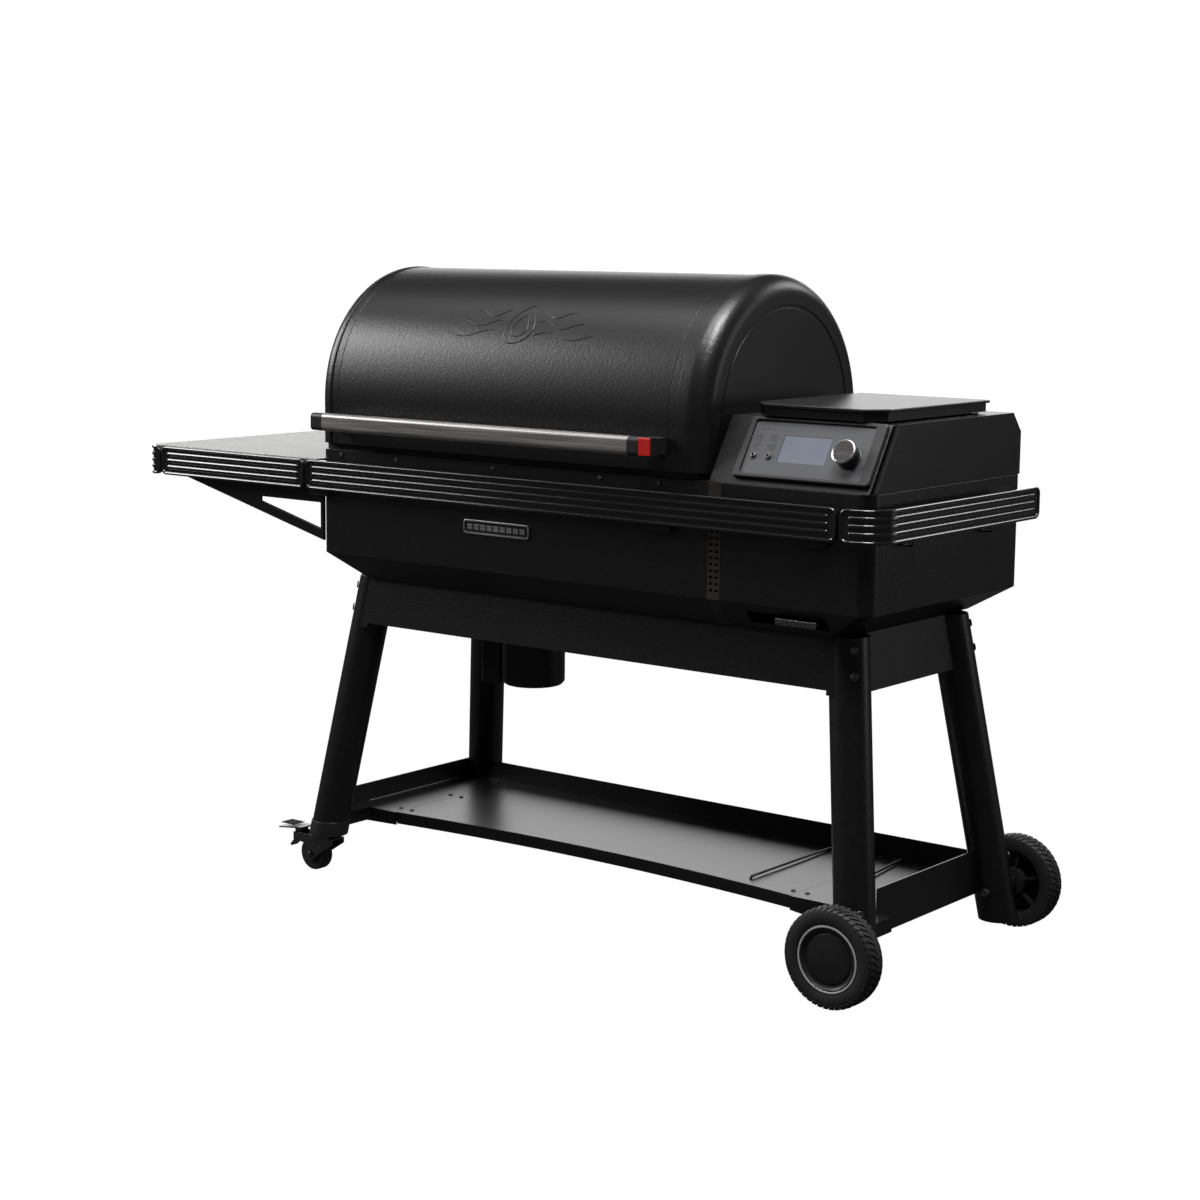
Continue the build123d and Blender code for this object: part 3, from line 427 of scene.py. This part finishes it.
def road_wheel(node, front):
    """Lugged tyre, dished cap with a bright ring outside, and a spoked hub inside."""
    low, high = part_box(node)
    place = middle(node)
    half, radius = (high[1] - low[1]) / 2, (high[2] - low[2]) / 2
    body = BODY_OF[node]
    bm = bmesh.new()
    section = [(-0.90, 0.685), (-0.975, 0.74), (-0.99, 0.83), (-0.97, 0.905), (-0.88, 0.948), (-0.70, 0.968),
               (-0.05, 0.972), (-0.03, 0.945), (0.03, 0.945), (0.05, 0.972), (0.70, 0.968), (0.88, 0.948),
               (0.97, 0.905), (0.99, 0.83), (0.975, 0.74), (0.90, 0.685)]
    lathe(bm, [(w * half, r * radius) for w, r in section], place, (0, 1, 0), 96)
    for way in (-1, 1):
        for i in range(LUGS):
            lug(bm, place, way, 2 * math.pi * (i + way * 0.25) / LUGS, radius * 0.998, half)
    tyre = piece("tyre_" + node, bm, SLOT_OF[node], body, 30)
    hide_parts(node)
    bm = bmesh.new()
    cap = [(0.30, 0.69), (0.86, 0.69), (0.90, 0.675), (0.90, 0.60), (0.78, 0.575), (0.70, 0.53), (0.70, 0.50),
           (0.76, 0.485), (0.80, 0.44), (0.84, 0.30), (0.86, 0.15), (0.865, 0.01), (0.70, 0.01),
           (0.70, 0.19), (0.30, 0.19)]
    lathe(bm, [(front * w * half, r * radius) for w, r in cap], place, (0, 1, 0), 72)
    piece("cap_" + node, bm, "black_plastic", body, 30)
    bm = bmesh.new()
    ring = [(0.86, 0.668), (0.935, 0.663), (0.945, 0.646), (0.935, 0.630), (0.86, 0.625)]
    lathe(bm, [(front * w * half, r * radius) for w, r in ring], place, (0, 1, 0), 72)
    piece("ring_" + node, bm, "ring_paint", body, 30)
    bm = bmesh.new()
    back = [(-0.85, 0.30), (-0.88, 0.27), (-0.88, 0.115), (0.30, 0.115), (0.30, 0.69), (-0.80, 0.69),
            (-0.80, 0.66), (0.12, 0.64), (0.12, 0.32)]
    lathe(bm, [(front * w * half, r * radius) for w, r in back], place, (0, 1, 0), 72)
    for i in range(6):
        angle = math.pi / 3 * i + 0.3
        across = Vector((-math.sin(angle), 0, math.cos(angle))) * 0.0022
        out = Vector((math.cos(angle), 0, math.sin(angle))) * radius
        corners = []
        for share in (0.24, 0.67):
            for w in (-0.72, 0.2):
                for way in (-1, 1):
                    corners.append(bm.verts.new(place + out * share + across * way
                                                + Vector((0, front * w * half, 0))))
        bmesh.ops.convex_hull(bm, input=corners)
    piece("hub_" + node, bm, "black_plastic", body, 30)


road_wheel("road_wheel_front", -1)
road_wheel("road_wheel_rear", 1)
MADE |= {"road_wheel_front", "road_wheel_rear"}


# ---------------------------------------------------------------- control panel

KNOB_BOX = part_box("knob")
SLOPE_UP = Vector((0, 70, 113)).normalized()
SLOPE_OUT = Vector((0, -113, 70)).normalized()
PANEL_AT = middle("control_panel")


def on_panel(u, v, out):
    """Point on the sloped control face, from the panel's centre, in metres."""
    return PANEL_AT + Vector((u, 0, 0)) + SLOPE_UP * v + SLOPE_OUT * out


def make_knob():
    """Turned knob on its spindle: base ring, finely ribbed skirt, polished rim and dark face."""
    low, high = KNOB_BOX
    centre = middle("knob")
    radius = (high[0] - low[0]) / 2
    long = ((high[1] - low[1]) - 2 * radius * SLOPE_UP.y) / abs(SLOPE_OUT.y)
    foot = centre - SLOPE_OUT * (long / 2)
    clear = (PANEL_AT + SLOPE_OUT * PANEL_SKIN - foot).dot(SLOPE_OUT) + 0.0003
    bm = bmesh.new()
    skirt = [(0.0, 0.0002), (0.0, SPINDLE_R), (clear, SPINDLE_R), (clear, radius * 0.96),
             (clear + long * 0.06, radius * 0.96), (clear + long * 0.09, radius * 0.90),
             (long * 0.60, radius * 0.88), (long * 0.62, radius * 0.93), (long * 0.80, radius * 0.93),
             (long * 0.80, 0.0002)]
    lathe(bm, skirt, foot, SLOPE_OUT, 144, False, lambda a: 1 + 0.008 * math.cos(48 * a))
    base = piece("knob_skirt", bm, "black_plastic", BODY_OF["knob"], 40)
    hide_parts("knob")
    bm = bmesh.new()
    rim = [(long * 0.79, radius * 0.80), (long * 0.80, radius * 0.945), (long * 0.90, radius * 0.985),
           (long * 0.965, radius * 0.95), (long * 0.985, radius * 0.88), (long * 0.97, radius * 0.84),
           (long * 0.93, radius * 0.80)]
    lathe(bm, rim, foot, SLOPE_OUT, 96)
    piece("knob_rim", bm, "knob_metal", BODY_OF["knob"], 40)
    bm = bmesh.new()
    face = [(long * 0.80, 0.0002), (long * 0.80, radius * 0.835), (long * 0.955, radius * 0.835),
            (long * 0.962, radius * 0.80), (long * 0.950, radius * 0.40), (long * 0.948, 0.0002)]
    lathe(bm, face, foot, SLOPE_OUT, 96, False)
    piece("knob_face", bm, "badge_metal", BODY_OF["knob"], 40)


def key_outline(bm, u, v, half, thick):
    """Thin raised square outline on the panel, with rounded corners."""
    rings = []
    for inset, out in ((0, 0.0), (0, 0.0004), (thick, 0.0004), (thick, 0.0)):
        loop = rounded_loop((-half + inset, -half + inset), (half - inset, half - inset), half * 0.35, 4)
        rings.append([bm.verts.new(on_panel(u + a, v + b, out + PANEL_SKIN)) for a, b in loop])
    for a, b in zip(rings, rings[1:] + rings[:1]):
        join_rings(bm, a, b)


def make_keys():
    """Four thin key outlines with a dot in each, and three short marks above them."""
    bm = bmesh.new()
    for u, v in KEYS:
        key_outline(bm, u, v, KEY_HALF, 0.0005)
        lathe(bm, [(0.0, 0.0001), (0.0, 0.0010), (0.0004, 0.0008), (0.0004, 0.0001)],
              on_panel(u, v, PANEL_SKIN), SLOPE_OUT, 16, False)
    for i in range(3):
        u, v = KEYS[0][0] + 0.010 * i, KEYS[0][1] + 0.017
        a, b = on_panel(u, v, PANEL_SKIN), on_panel(u + 0.005, v, PANEL_SKIN)
        tube(bm, [a, b], 0.0005, 6)
    piece("panel_marks", bm, "zinc", BODY_OF["control_panel"], 40)


def panel_skin():
    """How far the panel's outer face stands from the centre of its box, along the slope's normal."""
    mesh = frame["nodes"]["control_panel"].data
    return max((v.co - PANEL_AT).dot(SLOPE_OUT) for v in mesh.vertices)


PANEL_SKIN = panel_skin()
SPINDLE_R = 0.0034
KEY_HALF = 0.0048
KEYS = [(-0.105, 0.018), (-0.074, 0.018), (-0.105, 0.003), (-0.074, 0.003)]
make_knob()
make_keys()
MADE.add("knob")


# ---------------------------------------------------------------- raised motif on the lid

def on_lid(x, angle, out):
    """Point on the lid's skin, at an angle up from the front."""
    low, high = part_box("lid_shell")
    radius = (high[1] - low[1]) / 2
    centre_z = high[2] - radius
    return Vector((x, -(radius + out) * math.cos(angle), centre_z + (radius + out) * math.sin(angle)))


def lid_line(bm, course, thick):
    """Rounded ridge pressed into the lid along (x, angle) points."""
    tube(bm, [on_lid(x, angle, -thick * 0.35) for x, angle in course], thick, 8)


def make_motif():
    """Generic flame between drifting smoke lines, pressed into the skin."""
    bm = bmesh.new()
    radius = 0.257
    centre_x, centre_angle = middle("lid_shell").x + 0.02, math.radians(39)
    for scale in (1.0, 0.55):
        course = []
        for i in range(49):
            t = 2 * math.pi * i / 48
            wide = 0.030 * scale * math.sin(t) * (1 - 0.45 * math.cos(t))
            tall = 0.044 * scale * math.cos(t) - (1 - scale) * 0.012
            course.append((centre_x + wide + 0.010 * scale * math.cos(t) ** 3, centre_angle + tall / radius))
        lid_line(bm, course, 0.0016 if scale == 1 else 0.0013)
    for side in (-1, 1):
        for row in range(3):
            course = []
            long = 0.135 - 0.028 * row
            for i in range(41):
                t = i / 40
                x = centre_x + side * (0.040 + long * t)
                rise = 0.009 * math.sin(2.2 * math.pi * t + row * 0.8) * (1 - 0.35 * t)
                course.append((x, centre_angle + (-0.026 + 0.024 * row + rise) / radius))
            lid_line(bm, course, 0.0014)
    piece("lid_motif", bm, SLOT_OF["lid_shell"], BODY_OF["lid_shell"], 50)


make_motif()


# ---------------------------------------------------------------- badge

BADGE_CORNER = 0.007
TILES, TILE_GAP, TILE_SIDE, TILE_EDGE = 9, 0.0035, 0.010, 0.0085


def make_badge():
    """Dark plate with a bright rounded border and a row of plain tiles."""
    low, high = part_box("badge_plate")
    bm = bmesh.new()
    rings = []
    deep = high[1] - low[1]
    for inset, out in ((0, 0), (0, 0.8), (0.0008, 1.0), (0.0030, 1.0), (0.0036, 0.6), (0.0036, 0)):
        loop = rounded_loop((low[0] + inset, low[2] + inset), (high[0] - inset, high[2] - inset),
                            BADGE_CORNER - inset)
        rings.append([bm.verts.new((x, high[1] - out * deep, z)) for x, z in loop])
    for a, b in zip(rings, rings[1:] + rings[:1]):
        join_rings(bm, a, b)
    start, end = low[0] + TILE_SIDE, high[0] - TILE_SIDE
    step = (end - start + TILE_GAP) / TILES
    for i in range(TILES):
        x = start + i * step
        front, rear = high[1] - deep * 0.85, high[1] - deep * 0.2
        tile_low, tile_high = (x, front, low[2] + TILE_EDGE), (x + step - TILE_GAP, rear, high[2] - TILE_EDGE)
        soft_box(bm, tile_low, tile_high, 0.0004)
    piece("badge_border", bm, "raw_steel", BODY_OF["badge_plate"], 30)
    bm = bmesh.new()
    rings = []
    for inset, out in ((0.0010, 0.0), (0.0010, 0.35), (0.0016, 0.45)):
        loop = rounded_loop((low[0] + inset, low[2] + inset), (high[0] - inset, high[2] - inset), 0.006)
        rings.append([bm.verts.new((x, high[1] - out * deep, z)) for x, z in loop])
    for a, b in zip(rings, rings[1:]):
        join_rings(bm, a, b)
    bm.faces.new(rings[0])
    bm.faces.new(list(reversed(rings[-1])))
    plate = piece("badge_field", bm, "badge_metal", BODY_OF["badge_plate"], 30)
    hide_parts("badge_plate")


make_badge()
MADE.add("badge_plate")


# ---------------------------------------------------------------- small fittings

KNUCKLE_R, PIN_HOLE_R, KNUCKLE_LONG = 0.005, 0.0026, 0.024
SHELF_SKIN, STAY_R, STAY_RISE, STAY_LIE = 0.024, 0.0026, 0.0042, 0.0048
SCREW_HEAD = [(0.0, 0.0001), (0.0, 0.0050), (0.0010, 0.0048), (0.0024, 0.0030), (0.0028, 0.0001)]
BOLT_HEAD = [(-0.002, 0.0001), (-0.002, 0.0048), (0.0014, 0.0044), (0.0026, 0.0026), (0.0028, 0.0001)]
AXLE_NUT = [(-0.003, 0.0001), (-0.003, 0.0062), (0.0, 0.0060), (0.0006, 0.0048), (0.0006, 0.0001)]
RIDGES, RIDGE_PITCH, RIDGE_R, RIDGE_INSET = 6, 0.0065, 0.0013, 0.003


def hopper_top():
    """Thin top plate with clipped front corners over a narrower skirt, in the CAD lid's outline."""
    low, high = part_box("hopper_lid")
    clip, plate, inset, edge, sheet = 0.034, 0.0055, 0.005, 0.0012, 0.002
    hinge_y, hinge_z = high[1] - KNUCKLE_R, low[2] + KNUCKLE_R
    skirt_rear = hinge_y - 0.006

    def outline(step, corner):
        x0, x1, y0 = low[0] + step, high[0] - step, low[1] + step
        y1 = skirt_rear - step
        front = [(x0 + corner, y0), (x1 - corner, y0), (x1, y0 + corner)]
        return front + [(x1, y1), (x0, y1), (x0, y0 + corner)]

    bm = bmesh.new()
    rings = []
    under, top_z = high[2] - plate, high[2]
    for step, z in ((edge, under), (0, under + edge), (0, top_z - edge), (edge, top_z)):
        rings.append([bm.verts.new((x, y, z)) for x, y in outline(step, clip)])
    for a, b in zip(rings, rings[1:]):
        join_rings(bm, a, b)
    bm.faces.new(rings[-1])
    bm.faces.new(list(reversed(rings[0])))
    rings = []
    skirt_low = low[2] + 0.002
    for step, z in ((inset, under), (inset, skirt_low), (inset + sheet, skirt_low), (inset + sheet, under)):
        rings.append([bm.verts.new((x, y, z)) for x, y in outline(step, clip - 0.004)])
    for a, b in zip(rings, rings[1:] + rings[:1]):
        join_rings(bm, a, b)
    top = piece("hopper_lid_plate", bm, SLOT_OF["hopper_lid"], BODY_OF["hopper_lid"], 30)
    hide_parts("hopper_lid")
    bm = bmesh.new()
    for x in (low[0] + 0.037, low[0] + 0.213):
        section = [(0.0, PIN_HOLE_R), (0.0, KNUCKLE_R), (KNUCKLE_LONG, KNUCKLE_R), (KNUCKLE_LONG, PIN_HOLE_R)]
        lathe(bm, section, Vector((x, hinge_y, hinge_z)), (1, 0, 0), 32)
        web_low = (x, hinge_y - 0.012, skirt_low)
        web_high = (x + KNUCKLE_LONG, hinge_y - 0.0045, low[2] + 0.010)
        soft_box(bm, web_low, web_high, 0.0006)
    piece("hopper_lid_knuckles", bm, SLOT_OF["hopper_lid"], BODY_OF["hopper_lid"], 40)


def shelf_fittings():
    """Two stay rods, screw heads and a thin bright steel bead at the left lip's foot, on the lower shelf; the
    bead's bright colour is a painted highlight along the lip's bend.
    """
    low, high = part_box("lower_shelf")
    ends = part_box("shelf_ends")
    top = low[2] + SHELF_SKIN
    bm = bmesh.new()
    front, rear = low[1] + 0.045, high[1] - 0.020
    first = high[0] - 0.118
    course = [(first, front, 0.0005), (first, front + 0.004, STAY_RISE), (first, front + 0.014, STAY_LIE),
              (first, rear, STAY_LIE)]
    tube(bm, [Vector((x, y, top + z)) for x, y, z in course], STAY_R, 10)
    second = high[0] + 0.048
    course = [(second, front + 0.150, 0.0005), (second - 0.001, front + 0.156, STAY_RISE),
              (second - 0.004, front + 0.170, STAY_LIE), (second - 0.018, rear, STAY_LIE)]
    tube(bm, [Vector((x, y, top + z)) for x, y, z in course], STAY_R, 10)
    piece("stay_rods", bm, SLOT_OF["lower_shelf"], BODY_OF["lower_shelf"], 50)
    bm = bmesh.new()
    for x in (low[0] + 0.014, low[0] - 0.016, high[0] - 0.014, high[0] + 0.016):
        for y in (low[1] + 0.030, (low[1] + high[1]) / 2, high[1] - 0.030):
            lathe(bm, SCREW_HEAD, Vector((x, y, top)), (0, 0, 1), 20, False)
    piece("shelf_screws", bm, "zinc", BODY_OF["lower_shelf"], 40)
    # Painted highlight: a bright steel bead laid along the left lip's foot stands for the light line on the
    # bend of the black lip.
    bm = bmesh.new()
    highlight_hem = [Vector((ends[0][0] + 0.0036, y, top + 0.0004)) for y in (low[1] + 0.040, high[1] - 0.010)]
    tube(bm, highlight_hem, 0.0011, 8)
    piece("shelf_hem_highlight", bm, "raw_steel", BODY_OF["shelf_ends"], 40)


def pedal_ridges(node, fork):
    """Grip ridges across a caster pedal, and bolt heads on the fork at the axle."""
    low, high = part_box(node)
    bm = bmesh.new()
    for i in range(RIDGES):
        x = low[0] + 0.006 + RIDGE_PITCH * i
        ends = (low[1] + RIDGE_INSET, high[1] - RIDGE_INSET)
        tube(bm, [Vector((x, y, high[2] - 0.0002)) for y in ends], RIDGE_R, 8)
    piece("ridges_" + node, bm, "zinc", BODY_OF[node], 40)
    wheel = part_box(fork.replace("fork", "wheel"))
    axle = (Vector(wheel[0]) + Vector(wheel[1])) / 2
    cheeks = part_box(fork)
    bm = bmesh.new()
    for way, y in ((-1, cheeks[0][1]), (1, cheeks[1][1])):
        lathe(bm, AXLE_NUT, Vector((axle.x, y - way * 0.0012, axle.z)), (0, way, 0), 6, False)
    piece("nuts_" + fork, bm, "zinc", BODY_OF[fork], 30)


def bracket_bolts():
    """Bolt pairs on the outer faces of the side shelf's brackets."""
    low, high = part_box("shelf_brackets")
    bm = bmesh.new()
    for y in (low[1] + 0.004, high[1] - 0.004):
        way = -1 if y < 0 else 1
        for dx, dz in ((0.030, 0.014), (0.060, 0.014)):
            place = Vector((high[0] - dx, y + way * 0.0035, high[2] - dz))
            lathe(bm, BOLT_HEAD, place, (0, way, 0), 20, False)
    piece("bracket_bolts", bm, "zinc", BODY_OF["shelf_brackets"], 40)


def port_rim():
    """Light rolled rim round the probe port's mouth on the lid end."""
    low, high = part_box("probe_port")
    centre = middle("probe_port")
    radius = (high[2] - low[2]) / 2
    bm = bmesh.new()
    section = [(-0.0020, radius * 0.50), (-0.0020, radius * 0.88), (-0.0006, radius * 0.94),
               (0.0006, radius * 0.86), (0.0008, radius * 0.66), (-0.0004, radius * 0.52)]
    lathe(bm, section, Vector((high[0], centre.y, centre.z)), (1, 0, 0), 48)
    piece("port_rim", bm, "raw_steel", BODY_OF["probe_port"], 40)


hopper_top()
shelf_fittings()
pedal_ridges("caster_brake_front", "caster_fork_front")
pedal_ridges("caster_brake_rear", "caster_fork_rear")
bracket_bolts()
port_rim()
MADE.add("hopper_lid")


# ---------------------------------------------------------------- pieces on the CAD shapes

EDGE_WIDTHS = {
    "lid_shell": 0.8, "lid_ends": 0.8, "hopper_housing": 1.5, "hopper_lid": 1.5, "side_shelf": 1.2,
    "control_bezel": 1.0, "control_panel": 0.5, "lcd_screen": 0.3, "leg_bolts": 1.2, "chamber_shell": 1.2,
    "hopper_base": 1.2, "handle_cap": 0.6, "lower_shelf": 0.6, "shelf_ends": 0.6,
    "cleanout_lever": 1.4,
}
for node in sorted(set(frame["nodes"]) - MADE):
    refine(node, EDGE_WIDTHS.get(node, 0.8))


# ---------------------------------------------------------------- stage, camera and light

def set_stage():
    """Pale round floor that rises into a wall all round, in one curve."""
    bm = bmesh.new()
    flat, bend, wall, steps, sides = 12.0, 6.0, 16.0, 24, 96
    rows = [(flat + bend * math.sin(a), bend - bend * math.cos(a))
            for a in (math.pi / 2 * i / steps for i in range(steps + 1))]
    rows.append((flat + bend, wall))
    rings = [[bm.verts.new((r * math.cos(a), r * math.sin(a), z))
              for a in (2 * math.pi * k / sides for k in range(sides))] for r, z in rows]
    bm.faces.new(rings[0])
    for low, high in zip(rings, rings[1:]):
        join_rings(bm, low, high)
    mesh = bpy.data.meshes.new("stage")
    bm.to_mesh(mesh)
    bm.free()
    for polygon in mesh.polygons:
        polygon.use_smooth = True
    mat, tree, shader = new_material("stage_paper", (0.90, 0.90, 0.90), roughness=0.95)
    vary_color(tree, shader, (0.89, 0.89, 0.89), (0.91, 0.91, 0.91), noise(tree, 2, 2))
    shader.inputs["Emission Color"].default_value = (1, 1, 1, 1)
    shader.inputs["Emission Strength"].default_value = 1.0
    mesh.materials.append(mat)
    floor = bpy.data.objects.new("stage", mesh)
    floor.visible_glossy = False
    floor.visible_diffuse = False
    bpy.context.scene.collection.objects.link(floor)


def set_camera():
    """The main view, from the right front."""
    right = Vector((0.78646, 0.61756, 0.00976))
    up = Vector((-0.10120, 0.11323, 0.98840))
    back = Vector((0.60932, -0.77831, 0.15156))
    data = bpy.data.cameras.new("camera")
    data.lens = 71.46
    data.sensor_width = 36
    camera = bpy.data.objects.new("camera", data)
    turn = Matrix((right, up, back)).transposed().to_4x4()
    camera.matrix_world = Matrix.Translation((2.9046, -3.6126, 1.2858)) @ turn
    bpy.context.scene.collection.objects.link(camera)
    bpy.context.scene.camera = camera


def area_light(name, place, aim, size, power):
    """Soft box facing a point, unseen by the camera: metres and watts."""
    data = bpy.data.lights.new(name, "AREA")
    data.shape = "RECTANGLE"
    data.size, data.size_y = size
    data.energy = power
    light = bpy.data.objects.new(name, data)
    light.location = place
    light.rotation_euler = (Vector(aim) - Vector(place)).to_track_quat("-Z", "Y").to_euler()
    light.visible_camera = False
    bpy.context.scene.collection.objects.link(light)


def set_lights():
    """Soft boxes: a key at the upper left front, three overhead, and three behind for tops and edges."""
    area_light("key", (-4.1, -1.9, 3.1), (-0.4, 0, 1.0), (1.8, 2.2), 150)
    area_light("top", (0.2, -0.9, 4.0), (0.1, 0, 0.8), (2.4, 1.5), 95)
    area_light("shoulder", (1.35, -0.9, 3.9), (0.4, 0, 1.1), (1.1, 1.1), 100)
    area_light("back", (-3.4, 4.4, 1.7), (0, 0, 0.8), (6.0, 3.0), 120)
    area_light("side", (3.9, 2.6, 1.6), (0.4, 0, 0.9), (1.6, 2.4), 13)
    area_light("strip", (-1.9, -0.2, 3.9), (0.3, 0, 0.9), (0.8, 1.5), 6)
    area_light("edge", (1.5, 2.9, 2.7), (0.8, 0, 0.9), (1.4, 1.0), 22)
    world = bpy.data.worlds.new("world")
    world.use_nodes = True
    world.node_tree.nodes["Background"].inputs["Color"].default_value = (0.93, 0.94, 0.95, 1)
    world.node_tree.nodes["Background"].inputs["Strength"].default_value = 0.06
    bpy.context.scene.world = world
    bpy.context.scene.view_settings.view_transform = "Standard"


set_stage()
set_camera()
set_lights()
